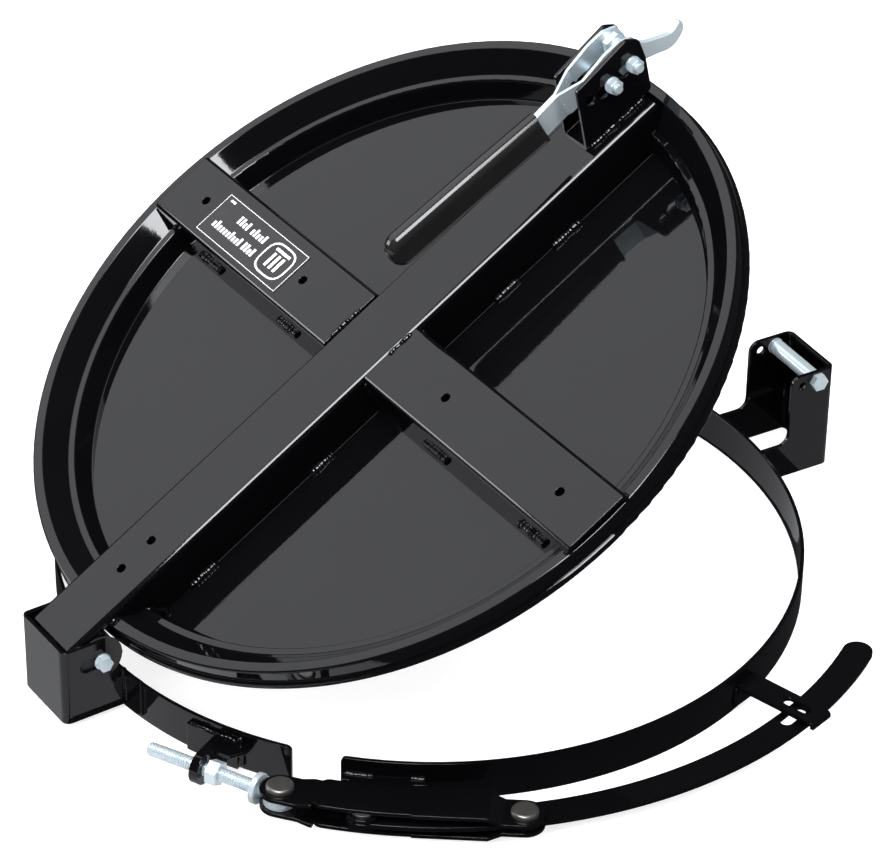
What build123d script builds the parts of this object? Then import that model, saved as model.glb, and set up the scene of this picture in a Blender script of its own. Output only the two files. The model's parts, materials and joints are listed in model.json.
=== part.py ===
from build123d import *
import os
from math import atan2, cos, degrees, radians, sin

# Hinged latching lid with a lever-lock clamp band, for a 55-gallon open-head steel drum.
# Millimetres. Origin: centre of the band's ring on its bottom plane.
# +Z up, hinge at -X, catch at +X. Azimuths are degrees from +X towards +Y.

# ---------------------------------------------------------------- driving dimensions
# Clamp band: flat bar rolled to a ring
BAND_IN = 292.0
BAND_T = 3.0
BAND_OUT = BAND_IN + BAND_T
BAND_H = 32.0
END_B_AZ = -136.3          # main stretch starts here ...
SEAM_AZ = 190.3            # ... and runs round to the seam behind the hinge
END_A_AZ = 216.3           # free end of the short, springing stretch
BAND_CORNER = 4.0

# Hinge bracket and bolt
PLATE_T = 3.0
BRACKET_HALF = 32.0
HINGE_WEB_X = -346.5
HINGE_Z0 = 5.0
HINGE_Z1 = 70.0
PIVOT_X = -313.5
PIVOT_Z = 52.0
BOLT_R = 4.0
RUNNING = 0.05             # radial clearance of a running fit
GAP = 0.3                  # clearance between faces of different bodies

# Lid, modelled shut and then swung open about the hinge bolt
RIM_ABOVE_PIVOT = 18.5
LID_OPEN = 30.5
SHEET_T = 1.2
PANEL_N = -30.0
PANEL_R = 257.5
LEDGE_N = -14.0
LEDGE_IN = 263.5
LEDGE_OUT = 269.0
RIM_IN = 284.5
RIM_OUT = 293.0
BEAD_N = -16.0
BEAD_R = 3.0
BEAD_C = 293.2

# Stiffening channels
CHANNEL_T = 3.0
CHANNEL_TOP = 7.0
LONG_HALF = 28.0
LONG_U0 = -328.0
LONG_U1 = 278.0
ARM_HALF = 29.0
ARM_ENDS = (279.0, 292.0)      # left and right arm
ARM_HOLES = ((95.5, 240.0), (102.0, 247.5))
LONG_HOLES = (-256.0, -225.5)
LABEL_SIZE = (41.0, 118.0)
LABEL_AT = (-2.4, 166.5)       # on the left arm
HOLE_R = 3.75

# Latch: positions are (u along the long channel, height above its top)
EAR_IN = 12.5
LATCH_PIVOT = (282.0, 35.5)
LATCH_STOP = (259.5, 34.5)
PADLOCK = (238.8, 37.4)
PADLOCK_R = 4.5
CROSS_PIN = (283.0, 50.5)
LATCH_BOLT_R = 3.5
HOOK_T = 5.0
CHEEK_T = 2.5
GRIP_HALF = 8.0

# Catch bracket
CATCH_AZ = -4.0
CATCH_WEB_R = 360.5
CATCH_INNER_R = 319.0
CATCH_H = 93.5
ROLLER_R_POS = 343.5
ROLLER_Z = 85.0
ROLLER_R = 6.5

# Lever-lock clamp
LEVER_Z = 13.5
LEVER_T = 4.0
STRAP_CENTRE = (15.0, 11.5)    # the strap is a wider arc than the band and leaves it at the tip
STRAP_R = 353.5
STRAP_HALF = 11.5
STRAP_TIP_AZ = -58.4
EYE_PIN = (328.4, -142.9)      # radius, azimuth
LINK_PIN = (340.5, -112.0)
LEVER_PIN = (335.5, -131.8)
PIN_R = 4.0
LINK_T = 3.0
EYE_GAP = 4.8                  # half the gap between the link plates at the eye
LINK_MID = 7.3                 # and halfway along, over the lever's pivot
ROD_R = 4.7
ROD_LEN = 112.5
ROD_AZ = -63.0
KEEPER_AZ = -70.1
KEEPER_SKEW = -4.7


# ---------------------------------------------------------------- small helpers
def polar(radius, azimuth):
    return Vector(radius * cos(radians(azimuth)), radius * sin(radians(azimuth)))


def closed_face(*edges):
    return Face(Wire(edges))


def polygon(*points):
    return make_face(Polyline(*points, close=True))


def sector(r_in, r_out, start, end):
    outer = CenterArc((0, 0), r_out, start, end - start)
    inner = CenterArc((0, 0), r_in, start, end - start)
    return closed_face(outer, Line(outer @ 1, inner @ 1), inner, Line(inner @ 0, outer @ 0))


def slab(face, low, high):
    """A face drawn in plan, made into a plate between two heights."""
    return Pos(0, 0, low) * extrude(face, amount=high - low, dir=(0, 0, 1))


def side(face, low, high):
    """A face drawn from the side (X, Z), made into a plate between two Y positions."""
    return Pos(0, low, 0) * extrude(Plane.XZ * face, amount=high - low, dir=(0, 1, 0))


def cross_rod(x, z, radius, low, high):
    """A round bar along Y."""
    return Pos(x, (low + high) / 2, z) * Rot(90, 0, 0) * Cylinder(radius, high - low)


def post(point, radius, low, high):
    """A round bar along Z."""
    return Pos(point.X, point.Y, (low + high) / 2) * Cylinder(radius, high - low)


def hex_prism(across_flats, height):
    return extrude(RegularPolygon(across_flats / 2, 6, major_radius=False), amount=height)


def cross_hex(x, z, across_flats, low, high):
    """A hexagon head or nut on a Y axis."""
    return Pos(x, high, z) * Rot(90, 0, 0) * hex_prism(across_flats, high - low)


def slot_face(length, radius):
    """A slot along X whose round ends are centred at 0 and at the length."""
    return Pos(length / 2, 0) * SlotCenterToCenter(length, 2 * radius)


def at_catch(shape):
    return Rot(0, 0, CATCH_AZ) * shape


def on_lid(shape):
    """From the lid's own frame, rim plane at Z = 0, to its place on the open lid."""
    shut = Pos(0, 0, PIVOT_Z + RIM_ABOVE_PIVOT) * shape
    return shut.rotate(Axis((PIVOT_X, 0, PIVOT_Z), (0, -1, 0)), LID_OPEN)


def latch(point):
    """Latch positions are given above the channel's top."""
    return point[0], point[1] + CHANNEL_TOP


parts = {}


# ---------------------------------------------------------------- the ring
def band_stretch(start, end, rounded_end):
    """Flat bar rolled on edge; the free end has rounded corners."""
    bar = slab(sector(BAND_IN, BAND_OUT, start, end), 0, BAND_H)
    tip = polar(BAND_IN + BAND_T / 2, rounded_end)
    corners = bar.edges().filter_by(lambda e: e.length < BAND_T + 0.5)
    corners = corners.sort_by(lambda e: (Vector(e.center().X, e.center().Y) - tip).length)[:2]
    return fillet(corners, BAND_CORNER)


parts["band_main"] = band_stretch(END_B_AZ, SEAM_AZ - 0.05, END_B_AZ)
parts["band_end_a"] = band_stretch(SEAM_AZ, END_A_AZ, END_A_AZ)


# ---------------------------------------------------------------- hinge bracket
def hinge_bracket():
    """Bent U plate round the end of the long channel, welded to the band."""
    inner = BRACKET_HALF - PLATE_T
    wall_end = -(BAND_OUT ** 2 - BRACKET_HALF ** 2) ** 0.5
    outline = Polyline((wall_end, -BRACKET_HALF), (HINGE_WEB_X, -BRACKET_HALF),
                       (HINGE_WEB_X, BRACKET_HALF), (wall_end, BRACKET_HALF), close=True)
    shell = slab(make_face(outline), HINGE_Z0, HINGE_Z1)
    back_edges = shell.edges().filter_by(Axis.Z).group_by(Axis.X)[0]
    shell = fillet(back_edges, 6)
    room = slab(polygon((wall_end + 30, -inner), (HINGE_WEB_X + PLATE_T, -inner),
                        (HINGE_WEB_X + PLATE_T, inner), (wall_end + 30, inner)), 0, HINGE_Z1 + 1)
    room = fillet(room.edges().filter_by(Axis.Z).group_by(Axis.X)[0], 3)
    shell = shell - room - post(Vector(0, 0), BAND_OUT, 0, 100)
    # the top of each side plate drops to a notch that clears the lid's rolled edge
    notch_floor = 28.0
    notch = polygon((-309.5, 100), (-309.5, HINGE_Z1 - 12), (-306, 45), (-306, notch_floor + 4),
                    (-302, notch_floor), (-298.5, notch_floor + 2), (-297, notch_floor + 6),
                    (-297, 37), (-280, 37), (-280, 100))
    shell = shell - side(notch, -40, 40)
    slot = side(Pos(-326.5, PIVOT_Z) * slot_face(13, 5.5), -40, 40)
    shell = shell - slot
    for start, end in ((SEAM_AZ - 4.5, SEAM_AZ - 0.2), (171.4, 174.2)):
        shell = shell + slab(sector(BAND_OUT, BAND_OUT + PLATE_T, start, end), HINGE_Z0, 36)
    return shell


parts["hinge_bracket"] = hinge_bracket()

washer_t = 1.4
head_face = BRACKET_HALF + washer_t
shank = cross_rod(PIVOT_X, PIVOT_Z, BOLT_R, -head_face, BRACKET_HALF + 14)
parts["hinge_bolt"] = shank + cross_hex(PIVOT_X, PIVOT_Z, 11, -head_face - 5.3, -head_face)
nut_hole = cross_rod(PIVOT_X, PIVOT_Z, BOLT_R, -60, 60)
parts["hinge_nut"] = cross_hex(PIVOT_X, PIVOT_Z, 13, head_face, head_face + 7) - nut_hole
near_washer = cross_rod(PIVOT_X, PIVOT_Z, 6.6, -head_face, -BRACKET_HALF)
wide_washer = cross_rod(PIVOT_X, PIVOT_Z, 18.5, BRACKET_HALF, head_face)
parts["hinge_washers"] = Compound([near_washer - nut_hole, wide_washer - nut_hole])


# ---------------------------------------------------------------- catch bracket
def catch_bracket():
    """Bent U plate outside the band; two feet reach in to the band under the plates."""
    inner = BRACKET_HALF - PLATE_T
    foot_top = 31.0
    base_r = 285.0
    cheek = polygon((base_r, 0), (CATCH_WEB_R, 0), (CATCH_WEB_R, CATCH_H), (CATCH_INNER_R, CATCH_H),
                    (CATCH_INNER_R, foot_top), (base_r, foot_top))
    body = side(cheek, -BRACKET_HALF, BRACKET_HALF)
    body = fillet(body.edges().filter_by(Axis.Z).group_by(Axis.X)[-1], 6)
    cross_edges = body.edges().filter_by(Axis.Y)
    top_inner = cross_edges.sort_by(lambda e: (e.center() - Vector(CATCH_INNER_R, 0, CATCH_H)).length)[0]
    foot_bend = cross_edges.sort_by(lambda e: (e.center() - Vector(CATCH_INNER_R, 0, foot_top)).length)[0]
    body = fillet([top_inner, foot_bend], 9)
    room = Pos(0, 0, CATCH_H / 2) * Box(2 * (CATCH_WEB_R - PLATE_T), 2 * inner, CATCH_H + 10)
    room = fillet(room.edges().filter_by(Axis.Z), 3)
    body = body - room
    hole = cross_rod(ROLLER_R_POS, ROLLER_Z, BOLT_R, -40, 40)
    spare_hole = cross_rod(ROLLER_R_POS - 14, ROLLER_Z - 1, HOLE_R, -40, 40)
    return at_catch(body - hole - spare_hole) - post(Vector(0, 0), BAND_OUT, -10, 120)


parts["catch_bracket"] = catch_bracket()

cheek_in = BRACKET_HALF - PLATE_T
shank = cross_rod(ROLLER_R_POS, ROLLER_Z, BOLT_R, -BRACKET_HALF, BRACKET_HALF + 4)
catch_head = cross_hex(ROLLER_R_POS, ROLLER_Z, 13, -BRACKET_HALF - 5.3, -BRACKET_HALF)
parts["catch_bolt"] = at_catch(shank + catch_head)
catch_bore = cross_rod(ROLLER_R_POS, ROLLER_Z, BOLT_R, -60, 60)
push_nut = cross_rod(ROLLER_R_POS, ROLLER_Z, 6.5, BRACKET_HALF, BRACKET_HALF + 2)
parts["catch_nut"] = at_catch(push_nut - catch_bore)
spacers = [cross_rod(ROLLER_R_POS, ROLLER_Z, 7, -cheek_in, -cheek_in + 1.2),
           cross_rod(ROLLER_R_POS, ROLLER_Z, 7, cheek_in - 1.2, cheek_in)]
parts["catch_washers"] = Compound([at_catch(spacer - catch_bore) for spacer in spacers])
roller_half = cheek_in - 1.2 - GAP
roller = cross_rod(ROLLER_R_POS, ROLLER_Z, ROLLER_R, -roller_half, roller_half)
roller = chamfer(roller.edges().filter_by(GeomType.CIRCLE), 0.6)
roller_bore = cross_rod(ROLLER_R_POS, ROLLER_Z, BOLT_R + RUNNING, -60, 60)
parts["catch_roller"] = at_catch(roller - roller_bore)


# ---------------------------------------------------------------- keeper for the closed lever
def keeper_bracket():
    """Plate over the lever with a slot, a turned-down lip outside and a flange on the band."""
    half = 11.0
    top = 21.5
    tip_r = 367.0
    lip_low = LEVER_Z + LEVER_T / 2 + 0.8
    body = Pos((BAND_OUT + tip_r) / 2, 0, top - PLATE_T / 2) * Box(tip_r - BAND_OUT + 1, 2 * half, PLATE_T)
    lip = Pos(tip_r - PLATE_T / 2 + 0.5, 0, (top + lip_low) / 2) * Box(PLATE_T, 2 * half, top - lip_low)
    flange = Pos(BAND_OUT + PLATE_T / 2 - 0.5, 0, top - 9) * Box(PLATE_T + 1, 2 * half, 18)
    body = body + lip + flange
    outer_bend = body.edges().filter_by(Axis.Y).sort_by(lambda e: (e.center() - Vector(tip_r, 0, top)).length)
    body = fillet(outer_bend[0], 3.5)
    slot = slab(Pos(336.5, 0) * slot_face(15.5, 4.2), 0, 40)
    skew = Pos(BAND_OUT, 0, 0) * Rot(0, 0, KEEPER_SKEW) * Pos(-BAND_OUT, 0, 0)
    return Rot(0, 0, KEEPER_AZ) * skew * (body - slot) - post(Vector(0, 0), BAND_OUT, -1, 60)


parts["keeper_bracket"] = keeper_bracket()


# ---------------------------------------------------------------- lever-lock clamp
eye_pin = polar(*EYE_PIN)
link_pin = polar(*LINK_PIN)
lever_pin = polar(*LEVER_PIN)
lever_low = LEVER_Z - LEVER_T / 2
lever_high = LEVER_Z + LEVER_T / 2


def pivot_ear():
    """Plan of one of the two ears on the band that hold the lever's pivot."""
    root = sector(BAND_OUT, BAND_OUT + 8, -135.8, -124.0)
    left = polar(BAND_OUT + 2, -135.0)
    right = polar(BAND_OUT + 2, -125.0)
    reach = polar(LEVER_PIN[0] + 2, LEVER_PIN[1])
    across = polar(12.5, LEVER_PIN[1] + 90)
    wedge = polygon(left, right, reach + across, reach - across)
    return root + wedge + Pos(lever_pin.X, lever_pin.Y) * Circle(12.5) - Circle(BAND_OUT)


ear_low = lever_high + GAP
ear_hole = post(lever_pin, PIN_R, 0, 40)
parts["pivot_ear_top"] = slab(pivot_ear(), ear_low, ear_low + PLATE_T) - ear_hole
ear_base = 2 * LEVER_Z - ear_low
parts["pivot_ear_bottom"] = slab(pivot_ear(), ear_base - PLATE_T, ear_base) - ear_hole
ear_top = ear_low + PLATE_T
head_t = 1.6
pivot_rivet = post(lever_pin, PIN_R, 2 * LEVER_Z - ear_top, ear_top)
pivot_rivet = pivot_rivet + post(lever_pin, 9, ear_top, ear_top + head_t)
pivot_rivet = pivot_rivet + post(lever_pin, 9, 2 * LEVER_Z - ear_top - head_t, 2 * LEVER_Z - ear_top)
parts["lever_pivot_rivet"] = pivot_rivet


def clamp_lever():
    """Flat strap round the outside of the band, with a slot near its rounded tip."""
    centre = Vector(*STRAP_CENTRE)
    root = lever_pin - centre
    tip = centre + polar(STRAP_R, STRAP_TIP_AZ)
    root_az = degrees(atan2(root.Y, root.X))
    strap = sector(STRAP_R - STRAP_HALF, STRAP_R + STRAP_HALF, root_az, STRAP_TIP_AZ)
    plan = Pos(centre.X, centre.Y) * strap + Pos(tip.X, tip.Y) * Circle(STRAP_HALF)
    plan = plan + Pos(lever_pin.X, lever_pin.Y) * Circle(STRAP_HALF + 1.5)
    plan = plan + Pos(link_pin.X, link_pin.Y) * Circle(STRAP_HALF + 1.5)
    slot_mid = polar(344.5, -71.6)
    plan = plan - Pos(slot_mid.X, slot_mid.Y) * Rot(0, 0, 90 - 73.4) * SlotCenterToCenter(18, 10)
    return slab(plan, lever_low, lever_high) - post(lever_pin, PIN_R + RUNNING, 0, 40)


parts["clamp_lever"] = clamp_lever()


def link_plate(upper):
    """Joggled plate from the eye to the lever's rivet: wide and raised in the middle."""
    span = link_pin - eye_pin
    reach = span.length
    tilt = degrees(atan2(span.Y, span.X))
    end_r = 15.0
    outer_edge = Pos(*STRAP_CENTRE) * Circle(STRAP_R + 7.5)
    plan = sector(311, 380, -138.2, -114.8) & outer_edge
    plan = fillet(plan.vertices(), 8)
    for pin, inward in ((eye_pin, LEVER_PIN[1] - 6), (link_pin, LEVER_PIN[1] + 6)):
        target = polar(329, inward)
        neck = target - pin
        across = Vector(-neck.Y, neck.X).normalized() * end_r
        plan = plan + Pos(pin.X, pin.Y) * Circle(end_r)
        plan = plan + polygon(pin + across, pin - across, target - across, target + across)
    clear = sector(0.1, 309.5, -150, -100)
    plan = plan - clear
    prism = slab(plan, 0, 30)
    lever_end = LEVER_T / 2 + GAP
    steps = [(-end_r - 2, EYE_GAP), (end_r, EYE_GAP), (end_r + 9, LINK_MID),
             (reach - end_r - 10, LINK_MID), (reach - end_r, lever_end), (reach + end_r + 2, lever_end)]
    lower_line = [(x, z) for x, z in steps]
    upper_line = [(x, z + LINK_T) for x, z in reversed(steps)]
    sheet = side(polygon(*lower_line, *upper_line), -80, 80)
    if not upper:
        sheet = mirror(sheet, Plane.XY)
    sheet = Pos(eye_pin.X, eye_pin.Y, LEVER_Z) * Rot(0, 0, tilt) * sheet
    plate = prism & sheet
    return plate - post(eye_pin, PIN_R, 0, 40) - post(link_pin, PIN_R, 0, 40)


parts["link_plate_top"] = link_plate(True)
parts["link_plate_bottom"] = link_plate(False)


def domed_head(point, base, upward):
    """Round rivet head with a low dome."""
    head_r = 10.5
    rise = 4.0
    head = Cylinder(head_r, rise, align=(Align.CENTER, Align.CENTER, Align.MIN))
    head = fillet(head.edges().group_by(Axis.Z)[-1], 2.8)
    if not upward:
        head = mirror(head, Plane.XY)
    return Pos(point.X, point.Y, base) * head


eye_top = LEVER_Z + EYE_GAP + LINK_T
eye_low = LEVER_Z - EYE_GAP - LINK_T
rivet = post(eye_pin, PIN_R, eye_low, eye_top)
parts["eye_rivet"] = rivet + domed_head(eye_pin, eye_top, True) + domed_head(eye_pin, eye_low, False)
link_top = lever_high + GAP + LINK_T
link_low = lever_low - GAP - LINK_T
stub_top = post(link_pin, PIN_R, lever_high + GAP, link_top) + domed_head(link_pin, link_top, True)
stub_low = post(link_pin, PIN_R, link_low, lever_low - GAP) + domed_head(link_pin, link_low, False)
parts["lever_rivet"] = Compound([stub_top, stub_low])


# ---------------------------------------------------------------- eye bolt and its lug
def along_rod(shape):
    """Shapes on a rod along +X from its free end, placed so that the rod ends in the eye."""
    free_end = eye_pin - polar(ROD_LEN, ROD_AZ)
    return Pos(free_end.X, free_end.Y, LEVER_Z) * Rot(0, 0, ROD_AZ) * shape


def rod_piece(radius, low, high):
    return Pos((low + high) / 2, 0, 0) * Rot(0, 90, 0) * Cylinder(radius, high - low)


def eye_bolt():
    eye_r = 12.5
    eye_half = 4.5
    rod = rod_piece(ROD_R, 0, ROD_LEN - 6)
    rod = chamfer(rod.edges().filter_by(GeomType.CIRCLE).sort_by(Axis.X)[0], 1)
    collar = rod_piece(12, ROD_LEN - 21, ROD_LEN - 16)
    collar = fillet(collar.edges().filter_by(GeomType.CIRCLE), 1.2)
    eye = Pos(ROD_LEN, 0, 0) * Cylinder(eye_r, 2 * eye_half)
    hole = Pos(ROD_LEN, 0, 0) * Cylinder(PIN_R + RUNNING, 30)
    return along_rod(rod + collar + eye - hole)


parts["eye_bolt"] = eye_bolt()
nut = Pos(53, 0, 0) * Rot(0, 90, 0) * hex_prism(17, 9)
parts["jam_nut"] = along_rod(nut - rod_piece(ROD_R, -10, 80))


def bolt_lug():
    """Tab across the rod with a round end, a gusset and a pad welded to the band."""
    tab_at = 42.0
    tab_t = 7.0
    tab_r = 12.5
    top = 26.0
    tab = Pos(tab_at + tab_t / 2, 0, 0) * Rot(0, 90, 0) * Cylinder(tab_r, tab_t)
    arm = Pos(tab_at + tab_t / 2, 17, 0) * Box(tab_t, 34, 2 * tab_r)
    gusset = slab(polygon((tab_at, 9), (tab_at + 22, 9), (tab_at + 30, 20), (tab_at + 30, 44), (tab_at, 44)),
                  top - LEVER_Z - PLATE_T - 1, top - LEVER_Z - 1)
    lug = along_rod(tab + arm + gusset)
    pad = slab(sector(BAND_OUT, BAND_OUT + 4, -160.5, -151.8), 1, 25)
    lug = lug + pad - post(Vector(0, 0), BAND_OUT, -10, 60)
    return lug - along_rod(rod_piece(ROD_R, -10, 90))


parts["bolt_lug"] = bolt_lug()


# ---------------------------------------------------------------- lid pan and gasket
def lid_pan():
    """Pressed sheet: flat panel, two sloping walls with a ledge, flat rim, skirt and rolled bead."""
    section = FilletPolyline((0, PANEL_N), (PANEL_R, PANEL_N), (LEDGE_IN, LEDGE_N), (LEDGE_OUT, LEDGE_N),
                             (RIM_IN, 0), (RIM_OUT, 0), (RIM_OUT, BEAD_N), radius=1.6)
    sheet = section.offset_2d(SHEET_T, side=Side.RIGHT, closed=True)
    pan = revolve(Plane.XZ * make_face(sheet.edges()), Axis.Z)
    bead = Pos(0, 0, BEAD_N) * Torus(BEAD_C, BEAD_R)
    return pan + bead


parts["lid_pan"] = on_lid(lid_pan())

gasket_face = make_face(Polyline((285.6, -1.3), (291.4, -1.3), (291.4, -6.5), (283.2, -6.5),
                                 (282.9, -3.8), close=True))
parts["lid_gasket"] = on_lid(revolve(Plane.XZ * gasket_face, Axis.Z))


# ---------------------------------------------------------------- stiffening channels
def channel(length, half, depth):
    """Bent channel along X, open below, its top face at Z = 0."""
    outer = Pos(0, 0, -depth / 2) * Box(length, 2 * half, depth)
    outer = fillet(outer.edges().filter_by(Axis.X).group_by(Axis.Z)[-1], 4)
    inner = Pos(0, 0, -CHANNEL_T - depth / 2) * Box(length + 2, 2 * (half - CHANNEL_T), depth)
    inner = fillet(inner.edges().filter_by(Axis.X).group_by(Axis.Z)[-1], 1.5)
    return outer - inner


def pan_envelope():
    """The space under and in the pan's top surface, which the channels are cut to fit."""
    slack = 0.15
    return revolve(Plane.XZ * polygon(
        (0, -60), (0, PANEL_N), (PANEL_R - slack, PANEL_N), (LEDGE_IN - slack, LEDGE_N + slack),
        (LEDGE_OUT - slack, LEDGE_N + slack), (RIM_IN - slack, slack), (BEAD_C + BEAD_R + 2, slack),
        (BEAD_C + BEAD_R + 2, -60)), Axis.Z)


def cross_hole(u, v):
    return Pos(u, v, CHANNEL_TOP) * Cylinder(HOLE_R, 20)


channel_depth = CHANNEL_TOP - PANEL_N
envelope = pan_envelope()
long_length = LONG_U1 - LONG_U0
long_channel = Pos((LONG_U0 + LONG_U1) / 2, 0, CHANNEL_TOP) * channel(long_length, LONG_HALF, channel_depth)
long_channel = long_channel - envelope
for hole_u in LONG_HOLES:
    long_channel = long_channel - cross_hole(hole_u, 0)
hinge_bore = cross_rod(PIVOT_X, -RIM_ABOVE_PIVOT, BOLT_R + RUNNING, -60, 60)
parts["long_channel"] = on_lid(long_channel - hinge_bore)

for name, sign, arm_end, holes in (("cross_arm_left", 1, ARM_ENDS[0], ARM_HOLES[0]),
                                   ("cross_arm_right", -1, ARM_ENDS[1], ARM_HOLES[1])):
    arm_length = arm_end - LONG_HALF
    arm = Rot(0, 0, 90) * channel(arm_length, ARM_HALF, channel_depth)
    arm = Pos(0, sign * (LONG_HALF + arm_length / 2), CHANNEL_TOP) * arm
    arm = arm - envelope
    for hole_v in holes:
        arm = arm - cross_hole(0, sign * hole_v)
    parts[name] = on_lid(arm)

label = extrude(RectangleRounded(*LABEL_SIZE, 1.5), amount=0.3)
parts["arm_label"] = on_lid(Pos(*LABEL_AT, CHANNEL_TOP) * label)


# ---------------------------------------------------------------- latch bracket and bolts
def latch_bracket():
    """Bent U plate welded on the long channel: two ears with slots and a padlock hole."""
    ear = polygon((215.5, 0), (233, 53), (258, 55), (287, 57.5), (296, 49),
                  (293.5, 30.5), (285.5, 5), (280, 0))
    ear = fillet(ear.vertices().filter_by(lambda v: v.Y > 40), 4)
    outer = EAR_IN + PLATE_T
    body = side(ear, -outer, outer)
    body = fillet(body.edges().filter_by(Axis.X).group_by(Axis.Z)[0], 3.5)
    body = body - Pos(255, 0, PLATE_T + 40) * Box(120, 2 * EAR_IN, 80)
    for u, h in (LATCH_PIVOT, LATCH_STOP):
        body = body - side(Pos(u - 10, h) * slot_face(10, 5), -30, 30)
    body = body - cross_rod(PADLOCK[0], PADLOCK[1], PADLOCK_R, -30, 30)
    return Pos(0, 0, CHANNEL_TOP) * body


parts["latch_bracket"] = on_lid(latch_bracket())

ear_face = EAR_IN + PLATE_T
bolts = []
nuts = []
latch_washers = []
for point in (LATCH_PIVOT, LATCH_STOP):
    u, n = latch(point)
    shank = cross_rod(u, n, LATCH_BOLT_R, -ear_face - 10, ear_face + 1.2)
    bolts.append(shank + cross_hex(u, n, 11, ear_face + 1.2, ear_face + 5.7))
    bore = cross_rod(u, n, LATCH_BOLT_R, -60, 60)
    nuts.append(cross_hex(u, n, 11, -ear_face - 7, -ear_face - 1.2) - bore)
    latch_washers.append(cross_rod(u, n, 6.5, ear_face, ear_face + 1.2) - bore)
    latch_washers.append(cross_rod(u, n, 6.5, -ear_face - 1.2, -ear_face) - bore)
parts["latch_bolts"] = Compound([on_lid(b) for b in bolts])
parts["latch_nuts"] = Compound([on_lid(b) for b in nuts])
parts["latch_washers"] = Compound([on_lid(b) for b in latch_washers])


# ---------------------------------------------------------------- latch handle
def handle_half(sign):
    """One stamped half: flat beside the other under the grip, spread into a fork cheek."""
    fork_mid = EAR_IN - 1.2 - CHEEK_T / 2
    flat_mid = CHEEK_T / 2
    profile = [(70, flat_mid), (222, flat_mid), (243, fork_mid), (310, fork_mid)]
    low = [(u, sign * (v - CHEEK_T / 2)) for u, v in profile]
    high = [(u, sign * (v + CHEEK_T / 2)) for u, v in reversed(profile)]
    sheet = slab(polygon(*low, *high), 0, 90)
    outline = polygon((72, 35), (200, 28.7), (226, 30), (247, 40), (270, 40), (272, 30), (278, 24.5),
                      (286, 24.5), (293, 30), (296, 41), (294, 52), (283, 57.5), (268, 57.5), (243, 53),
                      (200, 50), (72, 48))
    outline = fillet(outline.vertices().filter_by(lambda v: v.X > 222), 2.2)
    plate = sheet & side(Pos(0, CHANNEL_TOP) * outline, -30, 30)
    pivot_u, pivot_n = latch(LATCH_PIVOT)
    pin_u, pin_n = latch(CROSS_PIN)
    lock_u, lock_n = latch(PADLOCK)
    plate = plate - cross_rod(pivot_u, pivot_n, LATCH_BOLT_R + RUNNING, -30, 30)
    plate = plate - cross_rod(pin_u, pin_n, 2.5, -30, 30)
    return plate - cross_rod(lock_u, lock_n, PADLOCK_R + 0.8, -30, 30)


parts["handle_half_left"] = on_lid(handle_half(1))
parts["handle_half_right"] = on_lid(handle_half(-1))


def handle_grip():
    """Dipped vinyl sleeve with rounded edges and a rounded closed end."""
    outline = polygon((200, 24.5), (200, 52), (130, 56), (46, 59.8), (46, 31.5), (130, 27.8))
    outline = fillet(outline.vertices().filter_by(lambda v: v.X < 60), 12.5)
    sleeve = side(Pos(0, CHANNEL_TOP) * outline, -GRIP_HALF, GRIP_HALF)
    rim = sleeve.edges().group_by(Axis.Y)
    sleeve = fillet(rim[0] + rim[-1], GRIP_HALF - 1.5)
    return sleeve - handle_half(1) - handle_half(-1)


parts["handle_grip"] = on_lid(handle_grip())


def hook_plate():
    """Hook between the fork cheeks: eye on the pivot bolt, held above by the cross pin."""
    upper = Spline((288, 56.5), (294, 44), (301, 32.5), (315, 23), (324, 19), (331, 19.5), (336, 23))
    tip = Line(upper @ 1, (337, 20.5))
    lower = Spline(tip @ 1, (334.5, 13), (327, 8.7), (318, 8), (309, 12), (299, 16.5), (288, 25))
    back = Polyline(lower @ 1, (275, 26), (271, 40), (276, 56.5), upper @ 0)
    face = closed_face(upper, tip, lower, *back.edges())
    plate = side(Pos(0, CHANNEL_TOP) * face, -HOOK_T / 2, HOOK_T / 2)
    pivot_u, pivot_n = latch(LATCH_PIVOT)
    pin_u, pin_n = latch(CROSS_PIN)
    plate = plate - cross_rod(pivot_u, pivot_n, LATCH_BOLT_R + RUNNING, -30, 30)
    return plate - cross_rod(pin_u, pin_n, 2.5, -30, 30)


parts["hook_plate"] = on_lid(hook_plate())
pin_u, pin_n = latch(CROSS_PIN)
fork_out = EAR_IN - 1.2
pin = cross_rod(pin_u, pin_n, 2.5, -fork_out, fork_out)
fork_in = fork_out - CHEEK_T
for sign in (1, -1):
    near = min(sign * HOOK_T / 2, sign * fork_in)
    far = max(sign * HOOK_T / 2, sign * fork_in)
    pin = pin + cross_rod(pin_u, pin_n, 5, near, far)
parts["cross_pin"] = on_lid(pin)


# ---------------------------------------------------------------- write one STEP for each node
os.makedirs("parts", exist_ok=True)
for name, shape in parts.items():
    export_step(shape, f"parts/{name}.step")
print(len(parts), "nodes written")
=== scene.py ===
"""Looks for the latching drum lid: materials, weld beads, threads, label, camera and studio."""
import json
import math

import bpy
from mathutils import Matrix, Vector


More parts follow.
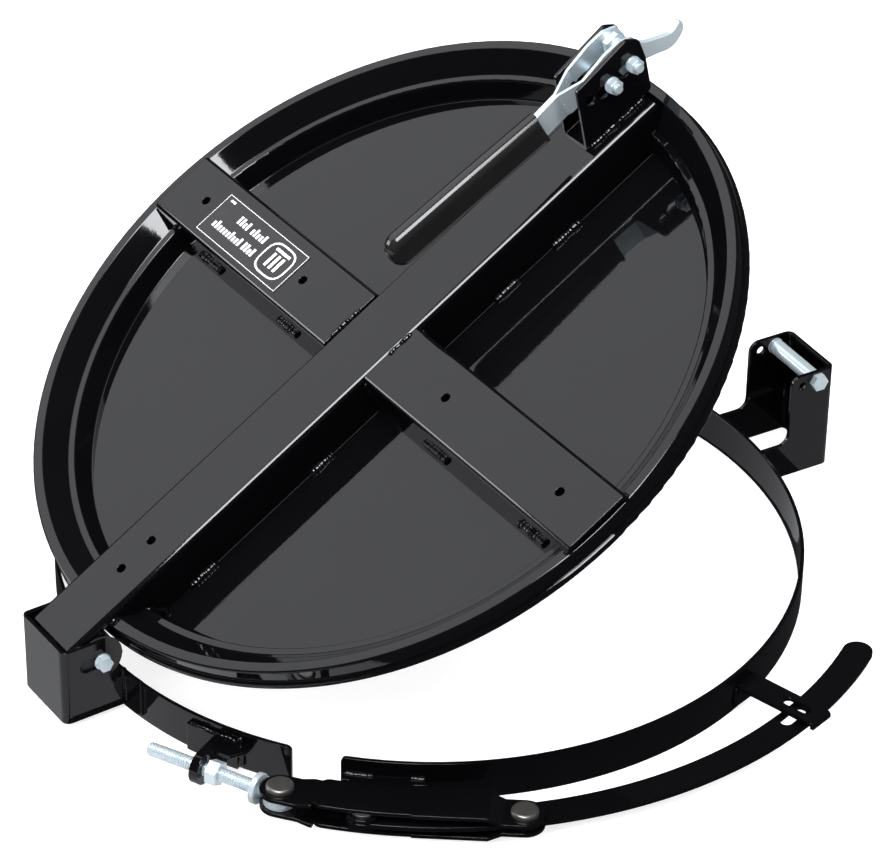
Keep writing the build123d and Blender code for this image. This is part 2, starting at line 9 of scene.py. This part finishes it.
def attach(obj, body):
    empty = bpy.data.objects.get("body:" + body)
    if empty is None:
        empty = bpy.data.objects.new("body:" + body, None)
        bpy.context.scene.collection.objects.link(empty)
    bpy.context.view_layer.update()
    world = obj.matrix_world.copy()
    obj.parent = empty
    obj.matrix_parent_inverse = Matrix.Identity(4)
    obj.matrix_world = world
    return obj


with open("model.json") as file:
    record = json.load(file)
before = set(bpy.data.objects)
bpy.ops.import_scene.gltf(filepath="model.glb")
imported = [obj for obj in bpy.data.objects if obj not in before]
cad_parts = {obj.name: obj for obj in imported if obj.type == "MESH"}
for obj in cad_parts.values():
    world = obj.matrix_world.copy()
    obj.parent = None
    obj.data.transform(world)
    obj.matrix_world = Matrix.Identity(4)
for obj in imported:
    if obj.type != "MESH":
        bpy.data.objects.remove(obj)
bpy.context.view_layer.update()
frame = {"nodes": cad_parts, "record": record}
nodes = frame["nodes"]

MM = 0.001

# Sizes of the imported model, in millimetres. On the lid, u runs from the hinge to the latch, v runs
# across, and n is the height above the rim.
LID_OPEN = math.radians(30.5)
PIVOT_U = -313.5
PIVOT = Vector((PIVOT_U, 0, 52.0)) * MM
RIM_ABOVE_PIVOT = 18.5
CHANNEL_TOP = 7.0
CHANNEL_HALF = 28.0
PANEL_N = -30.0
EYE_PIN = (328.4, -142.9, 13.5)  # radius, azimuth, height
ROD_AZ = -63.0
ROD_RADIUS = 4.7
ROD_THREAD = (24.0, 111.5)       # where it runs, from the eye
LATCH_PIVOT = (282.0, 35.5)      # u, and height above the channel
LATCH_STOP = (259.5, 34.5)
LATCH_BOLT_END = -25.3           # v
LATCH_BOLT_RADIUS = 3.5
HINGE_SPACER_Y = 28.55
LABEL_MIDDLE = (-2.4, 166.5)     # u, v
LABEL_FACE = CHANNEL_TOP + 0.36


# ------------------------------------------------------------------ materials
def new_material(name):
    material = bpy.data.materials.new(name)
    material.use_nodes = True
    tree = material.node_tree
    return material, tree, tree.nodes["Principled BSDF"]


def add_node(tree, kind, **values):
    node = tree.nodes.new(kind)
    for key, value in values.items():
        if key in node.inputs:
            node.inputs[key].default_value = value
        else:
            setattr(node, key, value)
    return node


def noise(tree, scale, detail):
    where = add_node(tree, "ShaderNodeTexCoord")
    texture = add_node(tree, "ShaderNodeTexNoise", Scale=scale, Detail=detail)
    tree.links.new(where.outputs["Object"], texture.inputs["Vector"])
    return texture


def spread(tree, texture, low, high):
    """Maps the middle of a noise onto a range of values."""
    ramp = add_node(tree, "ShaderNodeMapRange")
    ramp.inputs["From Min"].default_value = 0.3
    ramp.inputs["From Max"].default_value = 0.7
    ramp.inputs["To Min"].default_value = low
    ramp.inputs["To Max"].default_value = high
    tree.links.new(texture.outputs["Fac"], ramp.inputs["Value"])
    return ramp.outputs["Result"]


def powder_coat():
    """Gloss black powder coat: orange peel, faint dust in the roughness, softened edges."""
    material, tree, shader = new_material("black_powder_coat")
    colour = add_node(tree, "ShaderNodeMixRGB")
    colour.inputs["Color1"].default_value = (0.0012, 0.0012, 0.0016, 1)
    colour.inputs["Color2"].default_value = (0.0024, 0.0024, 0.0030, 1)
    tree.links.new(noise(tree, scale=9, detail=4).outputs["Fac"], colour.inputs["Fac"])
    tree.links.new(colour.outputs["Color"], shader.inputs["Base Color"])
    dust = spread(tree, noise(tree, scale=22, detail=6), low=0.025, high=0.06)
    tree.links.new(dust, shader.inputs["Roughness"])
    shader.inputs["IOR"].default_value = 1.52
    edges = add_node(tree, "ShaderNodeBevel", samples=6, Radius=0.9 * MM)
    peel = add_node(tree, "ShaderNodeBump", Strength=0.03, Distance=0.3 * MM)
    tree.links.new(noise(tree, scale=300, detail=1).outputs["Fac"], peel.inputs["Height"])
    tree.links.new(edges.outputs["Normal"], peel.inputs["Normal"])
    tree.links.new(peel.outputs["Normal"], shader.inputs["Normal"])
    return material


def bare_metal(name, low, high, roughness, grain, metallic):
    """Plated or plain steel: cloudy colour, patchy roughness, fine grain and softened edges."""
    material, tree, shader = new_material(name)
    colour = add_node(tree, "ShaderNodeMixRGB")
    colour.inputs["Color1"].default_value = (*low, 1)
    colour.inputs["Color2"].default_value = (*high, 1)
    tree.links.new(noise(tree, scale=60, detail=5).outputs["Fac"], colour.inputs["Fac"])
    tree.links.new(colour.outputs["Color"], shader.inputs["Base Color"])
    patches = spread(tree, noise(tree, scale=150, detail=5), *roughness)
    tree.links.new(patches, shader.inputs["Roughness"])
    shader.inputs["Metallic"].default_value = metallic
    edges = add_node(tree, "ShaderNodeBevel", samples=6, Radius=0.5 * MM)
    bump = add_node(tree, "ShaderNodeBump", Strength=grain, Distance=0.2 * MM)
    tree.links.new(noise(tree, scale=900, detail=3).outputs["Fac"], bump.inputs["Height"])
    tree.links.new(edges.outputs["Normal"], bump.inputs["Normal"])
    tree.links.new(bump.outputs["Normal"], shader.inputs["Normal"])
    return material


def soft_plastic(name, colour, roughness, grain_scale, grain):
    """Vinyl, rubber, film or ink: slightly mottled colour, patchy roughness and a grain."""
    material, tree, shader = new_material(name)
    shade = add_node(tree, "ShaderNodeMixRGB")
    shade.inputs["Color1"].default_value = (*colour, 1)
    shade.inputs["Color2"].default_value = (*(1.5 * c for c in colour), 1)
    tree.links.new(noise(tree, scale=35, detail=4).outputs["Fac"], shade.inputs["Fac"])
    tree.links.new(shade.outputs["Color"], shader.inputs["Base Color"])
    patches = spread(tree, noise(tree, scale=90, detail=4), *roughness)
    tree.links.new(patches, shader.inputs["Roughness"])
    bump = add_node(tree, "ShaderNodeBump", Strength=grain, Distance=0.2 * MM)
    tree.links.new(noise(tree, grain_scale, detail=3).outputs["Fac"], bump.inputs["Height"])
    tree.links.new(bump.outputs["Normal"], shader.inputs["Normal"])
    return material


coat = powder_coat()
zinc = bare_metal("zinc_plate", low=(0.58, 0.68, 0.74), high=(0.66, 0.75, 0.80),
                  roughness=(0.20, 0.28), grain=0.03, metallic=0.60)
rivet_steel = bare_metal("rivet_steel", low=(0.16, 0.155, 0.14), high=(0.24, 0.235, 0.22),
                         roughness=(0.3, 0.42), grain=0.1, metallic=0.9)
vinyl = soft_plastic("vinyl_grip", (0.008, 0.008, 0.008), (0.10, 0.16), grain_scale=700, grain=0.04)
rubber = soft_plastic("gasket_rubber", (0.02, 0.02, 0.02), (0.6, 0.8), grain_scale=900, grain=0.3)
film = soft_plastic("label_film", (0.010, 0.010, 0.011), (0.2, 0.3), grain_scale=500, grain=0.05)
ink = soft_plastic("label_ink", (0.62, 0.62, 0.62), (0.35, 0.45), grain_scale=500, grain=0.05)

finishes = {"black_powder_coat": coat, "zinc_plate": zinc, "rivet_steel": rivet_steel,
            "vinyl_grip": vinyl, "gasket_rubber": rubber, "label_film": film}
for part in frame["record"]["subparts"]:
    mesh = nodes[part["node"]].data
    mesh.materials.clear()
    mesh.materials.append(finishes[part["material_slot"]])


# ------------------------------------------------------------------ added detail
def lid_point(u, v, n):
    """A point in the lid's own frame, in millimetres, where the open lid holds it."""
    along = Vector((math.cos(LID_OPEN), 0, math.sin(LID_OPEN)))
    up = Vector((-math.sin(LID_OPEN), 0, math.cos(LID_OPEN)))
    return PIVOT + (along * (u - PIVOT_U) + Vector((0, v, 0)) + up * (n + RIM_ABOVE_PIVOT)) * MM


def ring_point(radius, azimuth, height):
    """A point about the ring's upright axis, from millimetres and degrees."""
    turn = math.radians(azimuth)
    return Vector((radius * math.cos(turn), radius * math.sin(turn), height)) * MM


def solid(name, body, vertices, faces, material, smooth=True):
    """A mesh of its own that rides on a body and takes the finish it is given."""
    mesh = bpy.data.meshes.new(name)
    mesh.from_pydata([tuple(v) for v in vertices], [], faces)
    mesh.validate()
    for face in mesh.polygons:
        face.use_smooth = smooth
    mesh.materials.append(material)
    piece = bpy.data.objects.new(name, mesh)
    bpy.context.scene.collection.objects.link(piece)
    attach(piece, body)


def resample(corners, step):
    """Points along straight runs between corners, about a step apart."""
    points = [corners[0]]
    for start, end in zip(corners, corners[1:]):
        count = max(1, round((end - start).length / step))
        points += [start.lerp(end, i / count) for i in range(1, count + 1)]
    return points


def weld(name, body, corners, radius, sides=12):
    """A weld bead along a seam: overlapping ripples, slightly uneven in width and line."""
    step = 0.5
    points = resample(corners, step * MM)
    start, end = points[0], points[-1]
    seed = len(name) * 1.7 + (start.x + 2 * start.y) * 90
    vertices = []
    for i, point in enumerate(points):
        run = points[min(i + 1, len(points) - 1)] - points[max(i - 1, 0)]
        run.normalize()
        across = run.cross(Vector((0.13, 0.31, 0.94))).normalized()
        out = run.cross(across)
        s = i * step
        taper = min(1, (0.25 + min((point - start).length, (point - end).length) / (2.5 * MM)))
        ripple = 0.04 * math.sin(s * 1.9 + seed) + 0.12 * math.sin(s * 0.31 + seed * 2)
        r = radius * MM * taper * (0.85 + ripple)
        sideways = across * (0.25 * MM * math.sin(s * 0.42 + seed))
        drift = sideways + out * (0.2 * MM * math.sin(s * 0.6 + seed))
        for k in range(sides):
            turn = 2 * math.pi * k / sides
            edge = across * (r * math.cos(turn))
            vertices.append(point + drift + edge + out * (r * math.sin(turn)))
    faces = [tuple(range(sides)), tuple(range(len(vertices) - 1, len(vertices) - sides - 1, -1))]
    for i in range(len(points) - 1):
        for k in range(sides):
            a = i * sides + k
            b = i * sides + (k + 1) % sides
            faces.append((a, a + sides, b + sides, b))
    solid(name, body, vertices, faces, coat)


def thread(name, body, start, end, radius, pitch, height, material):
    """A helical ridge that lies on a plain rod."""
    axis = (end - start).normalized()
    across = axis.orthogonal().normalized()
    up = axis.cross(across)
    per_turn = 24
    fade = 18
    root, flank, crest = radius - 0.15, 0.42, 0.06
    steps = int((end - start).length / (pitch * MM) * per_turn)
    vertices = []
    for i in range(steps + 1):
        turn = 2 * math.pi * i / per_turn
        middle = start + axis * (pitch * MM * i / per_turn)
        out = across * math.cos(turn) + up * math.sin(turn)
        top = radius + height * min(1, i / fade, (steps - i) / fade)
        for shift, r in ((-flank, root), (-crest, top), (crest, top), (flank, root)):
            vertices.append(middle + axis * (shift * pitch * MM) + out * (r * MM))
    faces = [(0, 1, 2, 3), tuple(range(len(vertices) - 1, len(vertices) - 5, -1))]
    for i in range(steps):
        for k in range(4):
            a = 4 * i + k
            b = 4 * i + (k + 1) % 4
            faces.append((a, b, b + 4, a + 4))
    solid(name, body, vertices, faces, material, smooth=False)


# welds on the lid: arms to long channel, channel feet to panel, latch bracket to channel
SEAM_N = CHANNEL_TOP - 0.6
WALL = CHANNEL_HALF + 0.6
FOOT_N = PANEL_N + 0.6
for name, corners, radius in (
        ("weld_top_right", [(-3, -WALL, SEAM_N), (22, -WALL, SEAM_N)], 2.6),
        ("weld_top_left", [(-21, WALL, SEAM_N), (11, WALL, SEAM_N)], 2.4),
        ("weld_corner_near_right", [(-29.6, -WALL, FOOT_N), (-29.6, -WALL, SEAM_N - 5)], 2.6),
        ("weld_corner_far_right", [(29.6, -WALL, FOOT_N), (29.6, -WALL, SEAM_N - 5)], 2.6),
        ("weld_corner_near_left", [(-29.6, WALL, FOOT_N), (-29.6, WALL, SEAM_N - 5)], 2.6),
        ("weld_corner_far_left", [(29.6, WALL, FOOT_N), (29.6, WALL, SEAM_N - 5)], 2.6),
        ("weld_arm_foot_1", [(-30, -84, FOOT_N), (-30, -117, FOOT_N)], 3.2),
        ("weld_arm_foot_2", [(-30, -208, FOOT_N), (-30, -243, FOOT_N)], 3.2),
        ("weld_arm_foot_3", [(-30, 92, FOOT_N), (-30, 122, FOOT_N)], 3.0),
        ("weld_arm_foot_4", [(-30, 205, FOOT_N), (-30, 240, FOOT_N)], 3.2),
        ("weld_arm_far_foot_1", [(30, -92, FOOT_N), (30, -120, FOOT_N)], 2.8),
        ("weld_arm_far_foot_2", [(30, 210, FOOT_N), (30, 240, FOOT_N)], 2.8),
        ("weld_bar_foot_1", [(88, -WALL, FOOT_N), (114, -WALL, FOOT_N)], 3.2),
        ("weld_bar_foot_2", [(148, -WALL, FOOT_N), (180, -WALL, FOOT_N)], 3.2),
        ("weld_bar_foot_3", [(-200, -WALL, FOOT_N), (-228, -WALL, FOOT_N)], 3.2),
        ("weld_bar_foot_4", [(-252, -WALL, FOOT_N), (-257, -WALL, -24), (-263, -WALL, -14)], 2.6),
        ("weld_bar_foot_5", [(-80, -WALL, FOOT_N), (-106, -WALL, FOOT_N)], 3.0),
        ("weld_bar_far_foot", [(150, WALL, FOOT_N), (182, WALL, FOOT_N)], 3.0),
        ("weld_bar_rim", [(-284, -WALL, 0.4), (-290.5, -WALL, 0.4)], 2.2),
        ("weld_arm_rim_near", [(-29.4, -283.5, 0.3), (-29.4, -290.5, 0.3)], 2.4),
        ("weld_arm_rim_far", [(29.4, -283.5, 0.3), (29.4, -290.5, 0.3)], 2.4),
        ("weld_left_arm_ledge", [(-29.6, 262, -13.6), (-29.6, 268, -13.6)], 2.2),
        ("weld_latch_near", [(219, -15.4, CHANNEL_TOP + 0.5), (276, -15.4, CHANNEL_TOP + 0.5)], 2.3),
        ("weld_latch_far", [(219, 15.4, CHANNEL_TOP + 0.5), (276, 15.4, CHANNEL_TOP + 0.5)], 2.3)):
    weld(name, "lid", [lid_point(*corner) for corner in corners], radius)

# welds on the ring: brackets, ears and keeper to the band
for name, corners, radius in (
        ("weld_hinge_near", [(296.5, 186.5, 6), (296.5, 186.5, 34)], 2.6),
        ("weld_hinge_far", [(296.5, 173.5, 6), (296.5, 173.5, 34)], 2.6),
        ("weld_catch_near", [(296.2, -10.5, 2), (296.2, -10.5, 28)], 2.4),
        ("weld_catch_far", [(296.2, 2.5, 2), (296.2, 2.5, 28)], 2.4),
        ("weld_ear_left", [(295.8, -135.9, 18.4), (295.8, -133.4, 18.6), (295.8, -131.4, 18.6)], 2.0),
        ("weld_ear_right", [(295.8, -126.6, 18.6), (295.8, -124.0, 18.4)], 2.0),
        ("weld_keeper_left", [(296, -72.5, 3), (296, -72.5, 20)], 1.9),
        ("weld_keeper_right", [(296, -67.7, 3), (296, -67.7, 20)], 1.9)):
    weld(name, "ring", [ring_point(*corner) for corner in corners], radius)
for name, corners, radius in (
        ("weld_lug_right", [(296.5, -151.4, 2), (296.5, -151.5, 30)], 2.4),
        ("weld_lug_top",
         [(297, -160.2, 25), (297, -157.5, 25.4), (297, -154.5, 25.2), (297, -152, 25)], 2.2)):
    weld(name, "band_end", [ring_point(*corner) for corner in corners], radius)

# screw threads on the eye bolt and on the ends of the latch bolts
eye_at = ring_point(*EYE_PIN)
rod_way = ring_point(1000, ROD_AZ, 0).normalized()
rod_start, rod_end = (eye_at - rod_way * (reach * MM) for reach in reversed(ROD_THREAD))
thread("eye_bolt_thread", "band_end", rod_start, rod_end, ROD_RADIUS, pitch=2.0, height=0.7, material=zinc)
for name, (u, n) in (("pivot", LATCH_PIVOT), ("stop", LATCH_STOP)):
    end = lid_point(u, LATCH_BOLT_END, n + CHANNEL_TOP)
    thread(f"latch_{name}_thread", "lid", end + Vector((0, 3.2 * MM, 0)), end,
           LATCH_BOLT_RADIUS, pitch=1.25, height=0.35, material=zinc)


def spacer(name, y, radius=19.0, thickness=0.5, sides=48):
    """A thin flat disc on the hinge's axis, between the channel and the bracket."""
    centre = PIVOT + Vector((0, y * MM, 0))
    vertices = []
    for side_y in (-thickness / 2, thickness / 2):
        for k in range(sides):
            turn = 2 * math.pi * k / sides
            edge = Vector((radius * math.cos(turn), side_y, radius * math.sin(turn)))
            vertices.append(centre + edge * MM)
    faces = [tuple(range(sides)), tuple(range(2 * sides - 1, sides - 1, -1))]
    faces += [(k, k + sides, (k + 1) % sides + sides, (k + 1) % sides) for k in range(sides)]
    solid(name, "ring", vertices, faces, rubber, smooth=False)


spacer("hinge_spacer_near", -HINGE_SPACER_Y)
spacer("hinge_spacer_far", HINGE_SPACER_Y)


# ------------------------------------------------------------------ label artwork
def ink_piece(name, loops):
    """Flat printed shapes on the label; each loop is a polygon in lid (u, v)."""
    vertices = []
    faces = []
    for loop in loops:
        faces.append(tuple(range(len(vertices), len(vertices) + len(loop))))
        vertices += [lid_point(u, v, LABEL_FACE) for u, v in loop]
    solid(name, "lid", vertices, faces, ink, smooth=False)


def oblong(u0, v0, u1, v1):
    """A rectangle between two corners."""
    return [(u0, v0), (u1, v0), (u1, v1), (u0, v1)]


def frame_loops(u0, v0, u1, v1, width):
    """A rectangular outline of four strips."""
    return [oblong(u0, v0, u1, v0 + width), oblong(u0, v1 - width, u1, v1),
            oblong(u0, v0 + width, u0 + width, v1 - width), oblong(u1 - width, v0 + width, u1, v1 - width)]


def badge_loops(u, v, half_u, half_v, width, sides=48):
    """A rounded square drawn as a ring of quads; below 1, the power squares off a circle."""
    power = 0.62

    def rim(shrink, i):
        turn = 2 * math.pi * i / sides
        c, s = math.cos(turn), math.sin(turn)
        return (u + (half_u - shrink) * math.copysign(abs(c) ** power, c),
                v + (half_v - shrink) * math.copysign(abs(s) ** power, s))

    return [[rim(0, i), rim(0, i + 1), rim(width, i + 1), rim(width, i)] for i in range(sides)]


def word_loops(u, v, marks, rise=7.5):
    """Marks that spell nothing: a row of short uprights of two heights."""
    thick, spacing, short = 2.6, 4.1, 0.68 * rise
    loops = []
    for i in range(marks):
        tall = rise if i in (0, 3, marks - 2) else short
        loops.append(oblong(u, v, u + tall, v + thick))
        v += spacing
    return loops


label_u, label_v = LABEL_MIDDLE
label_half_u, label_half_v = 19.3, 57.8
artwork = frame_loops(label_u - label_half_u, label_v - label_half_v,
                      label_u + label_half_u, label_v + label_half_v, width=0.45)
artwork += badge_loops(label_u, 132.3, half_u=15.0, half_v=17.6, width=1.5)
for v in (124.5, 130.5, 136.5):
    artwork.append(oblong(label_u - 8, v, label_u + 5.5, v + 3))
artwork.append(oblong(label_u + 7.5, 122.5, label_u + 10, 141.5))
for u, v, marks in ((-12.5, 156, 4), (-12.5, 175, 10), (1.5, 157, 5), (1.5, 181, 4)):
    artwork += word_loops(u, v, marks)
artwork.append(oblong(12, 212.5, 14, 219.0))
ink_piece("label_print", artwork)


# ------------------------------------------------------------------ camera
def camera(place, azimuth, elevation, roll, lens, shift):
    """A camera that looks along an azimuth from +Y towards +X, and down by an elevation."""
    ahead = Vector((math.sin(azimuth) * math.cos(elevation), math.cos(azimuth) * math.cos(elevation),
                    -math.sin(elevation)))
    level = Vector((math.cos(azimuth), -math.sin(azimuth), 0))
    upright = level.cross(ahead)
    right = level * math.cos(roll) + upright * math.sin(roll)
    top = upright * math.cos(roll) - level * math.sin(roll)
    data = bpy.data.cameras.new("camera")
    data.sensor_width = 36
    data.lens = lens
    data.shift_x, data.shift_y = shift
    data.clip_end = 100
    view = bpy.data.objects.new("camera", data)
    bpy.context.scene.collection.objects.link(view)
    turn = Matrix((right, top, -ahead)).transposed()
    view.matrix_world = Matrix.Translation(place) @ turn.to_4x4()
    bpy.context.scene.camera = view


camera(Vector((-1.4158, -2.0912, 1.7997)), azimuth=0.5961, elevation=0.5799, roll=0.0137,
       lens=157.7, shift=(0.0132, -0.0233))


# ------------------------------------------------------------------ studio
STUDIO_MIDDLE = Vector((-0.05, 0, 0.22))
LAMP_TARGET = Vector((0, 0, 0.15))
REFLECTOR_DISTANCE = 3.0
FLOOR_Z = -0.0005
CARD_Z = -0.0002


def plane(name, centre, facing, width, height, sides=4):
    """A flat rectangle, or an ellipse when it has many sides."""
    turns = [2 * math.pi * (k + 0.5) / sides for k in range(sides)]
    reach = 0.5 / math.cos(math.pi / sides)
    mesh = bpy.data.meshes.new(name)
    mesh.from_pydata([(width * reach * math.cos(t), height * reach * math.sin(t), 0) for t in turns],
                     [], [tuple(range(sides))])
    card = bpy.data.objects.new(name, mesh)
    bpy.context.scene.collection.objects.link(card)
    card.location = centre
    card.rotation_euler = Vector(facing).to_track_quat("Z", "Y").to_euler()
    return card


def area_light(name, direction, distance, size, power):
    """A soft lamp that lights the object and leaves the reflections to the cards."""
    data = bpy.data.lights.new(name, "AREA")
    data.shape = "RECTANGLE"
    data.size, data.size_y = size
    data.energy = power
    lamp = bpy.data.objects.new(name, data)
    bpy.context.scene.collection.objects.link(lamp)
    aim = Vector(direction).normalized()
    lamp.location = LAMP_TARGET + aim * distance
    lamp.rotation_euler = aim.to_track_quat("Z", "Y").to_euler()
    lamp.visible_glossy = False
    lamp.visible_camera = False


def glow_only(card, strength):
    """Makes a card that only shows in reflections."""
    material = bpy.data.materials.new(card.name)
    material.use_nodes = True
    tree = material.node_tree
    tree.nodes.clear()
    glow = add_node(tree, "ShaderNodeEmission", Color=(0.95, 0.96, 1.0, 1), Strength=strength)
    out = add_node(tree, "ShaderNodeOutputMaterial")
    tree.links.new(glow.outputs["Emission"], out.inputs["Surface"])
    card.data.materials.append(material)
    card.visible_camera = False
    card.visible_diffuse = False
    card.visible_shadow = False


def reflection_card(name, centre, facing, width, height, strength, sides=4):
    """A glowing card for one reflection."""
    glow_only(plane(name, centre, facing, width, height, sides), strength)


def softbox(name, ways, strength):
    """A bright patch of the room between four directions, for highlights along bent edges."""
    mesh = bpy.data.meshes.new(name)
    corners = [STUDIO_MIDDLE + Vector(way).normalized() * REFLECTOR_DISTANCE for way in ways]
    mesh.from_pydata(corners, [], [(0, 1, 2, 3)])
    patch = bpy.data.objects.new(name, mesh)
    bpy.context.scene.collection.objects.link(patch)
    glow_only(patch, strength)


floor = plane("floor", (0, 0, FLOOR_Z), (0, 0, 1), 30, 30)
floor_paint, _, floor_shader = new_material("floor_paint")
floor_shader.inputs["Base Color"].default_value = (0.5, 0.5, 0.5, 1)
floor_shader.inputs["Emission Color"].default_value = (1, 1, 1, 1)
floor_shader.inputs["Emission Strength"].default_value = 0.80
floor_shader.inputs["Roughness"].default_value = 0.9
floor_shader.inputs["Specular IOR Level"].default_value = 0.1
floor.data.materials.append(floor_paint)
floor.visible_glossy = False

LID_CARD_WAY = Vector((-0.24, 0.70, 0.67)).normalized()
reflection_card("lid_card", STUDIO_MIDDLE + LID_CARD_WAY * REFLECTOR_DISTANCE, -LID_CARD_WAY,
                width=2.2, height=2.2, strength=1.42)
softbox("long_edge_box", [(-0.52, 0.12, 0.86), (-0.18, 0.12, 0.97),
                          (-0.14, -0.54, 0.83), (-0.46, -0.54, 0.72)], strength=16.0)
softbox("arm_edge_box", [(-0.62, 0.58, 0.40), (-0.55, 0.78, 0.28),
                         (-0.64, 0.76, 0.0), (-0.80, 0.58, 0.05)], strength=7.0)

# cards that lie on the floor: inside the ring, beyond the hinge, and under the two brackets' near sides
for name, (x, y), (width, height), strength, sides in (
        ("ring_card", (0.0, 0.0), (0.578, 0.578), 0.36, 64),
        ("hinge_card", (-0.65, 0.1), (0.6, 0.9), 0.75, 4),
        ("hinge_side_card", (-0.285, -0.11), (0.12, 0.13), 0.7, 4),
        ("catch_side_card", (0.40, -0.13), (0.14, 0.17), 0.4, 4)):
    reflection_card(name, (x, y, CARD_Z), (0, 0, 1), width, height, strength, sides)

area_light("ceiling", (0, -0.05, 1), distance=3.2, size=(5.0, 5.0), power=330)
area_light("left_box", (-0.9, -0.25, 0.55), distance=2.6, size=(0.9, 1.3), power=45)
area_light("right_box", (0.75, -0.75, 0.45), distance=2.8, size=(0.8, 1.4), power=40)
area_light("top_box", (-0.30, 0.0, 0.95), distance=2.4, size=(1.2, 1.6), power=30)

# a pale room for the camera, a nearly dark one for the reflections
world = bpy.data.worlds.new("studio")
bpy.context.scene.world = world
world.use_nodes = True
sky = world.node_tree.nodes["Background"]
paths = add_node(world.node_tree, "ShaderNodeLightPath")
backdrop = add_node(world.node_tree, "ShaderNodeMixRGB")
backdrop.inputs["Color1"].default_value = (0.03, 0.03, 0.033, 1)
backdrop.inputs["Color2"].default_value = (0.92, 0.92, 0.92, 1)
world.node_tree.links.new(paths.outputs["Is Camera Ray"], backdrop.inputs["Fac"])
world.node_tree.links.new(backdrop.outputs["Color"], sky.inputs["Color"])
bpy.context.scene.view_settings.view_transform = "Standard"
